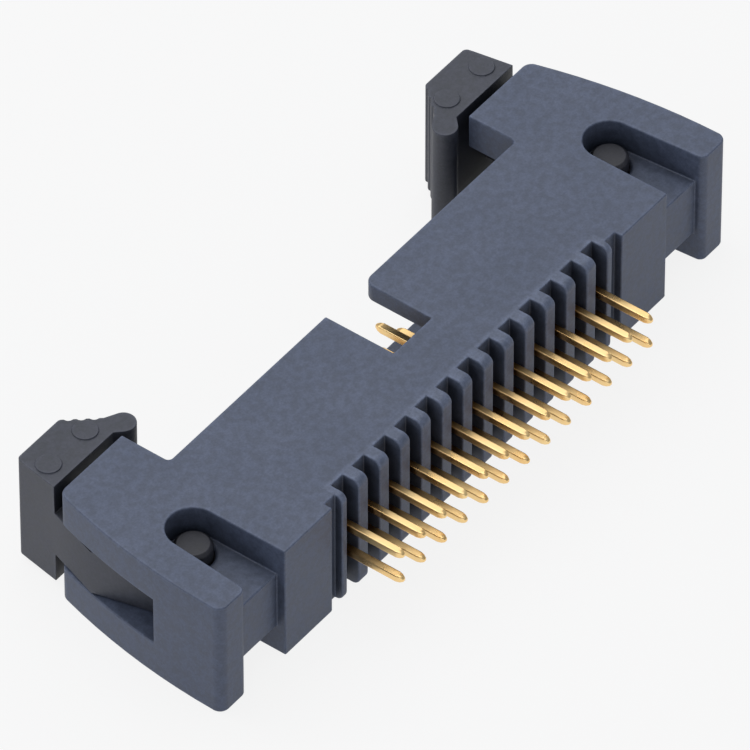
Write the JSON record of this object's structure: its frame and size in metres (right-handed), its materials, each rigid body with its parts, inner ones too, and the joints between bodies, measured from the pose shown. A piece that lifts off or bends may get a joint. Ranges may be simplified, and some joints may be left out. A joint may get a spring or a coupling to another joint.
{
  "type": "pin header",
  "caption": "Two-row box pin header with straight square posts, a polarising notch, keyholed ears and a swinging hooked ejector latch at each end.",
  "frame": {"origin": "middle of the outline seen from above, on the broad side that the part lies on", "axes": "+X along the rows of pins, +Y the way the plug leaves, away from the board, +Z the thickness, up through the broad wall that has the polarising notch"},
  "size_m": [0.062, 0.0264, 0.0108],
  "materials": {
    "housing_plastic": "matte, lightly speckled by its glass filling",
    "latch_plastic": "matte, a little browner than the housing",
    "contact_gold": "gold flash, bright"
  },
  "bodies": {
    "header": {"housing": "housing_plastic", "contact_pin_a01": "contact_gold", "contact_pin_a02": "contact_gold", "contact_pin_a03": "contact_gold", "contact_pin_a04": "contact_gold", "contact_pin_a05": "contact_gold", "contact_pin_a06": "contact_gold", "contact_pin_a07": "contact_gold", "contact_pin_a08": "contact_gold", "contact_pin_a09": "contact_gold", "contact_pin_a10": "contact_gold", "contact_pin_a11": "contact_gold", "contact_pin_a12": "contact_gold", "contact_pin_a13": "contact_gold", "contact_pin_b01": "contact_gold", "contact_pin_b02": "contact_gold", "contact_pin_b03": "contact_gold", "contact_pin_b04": "contact_gold", "contact_pin_b05": "contact_gold", "contact_pin_b06": "contact_gold", "contact_pin_b07": "contact_gold", "contact_pin_b08": "contact_gold", "contact_pin_b09": "contact_gold", "contact_pin_b10": "contact_gold", "contact_pin_b11": "contact_gold", "contact_pin_b12": "contact_gold", "contact_pin_b13": "contact_gold"},
    "left_lever": {"latch_left": "latch_plastic"},
    "right_lever": {"latch_right": "latch_plastic"}
  },
  "joints": [
    {"name": "left_latch_hinge", "type": "hinge", "parent": "header", "child": "left_lever", "pos_m": [-0.02545, -0.00168, 0.0054], "axis": [0, 0, 1], "range_deg": [0, 38]},
    {"name": "right_latch_hinge", "type": "hinge", "parent": "header", "child": "right_lever", "pos_m": [0.02545, -0.00168, 0.0054], "axis": [0, 0, -1], "range_deg": [0, 38]}
  ]
}
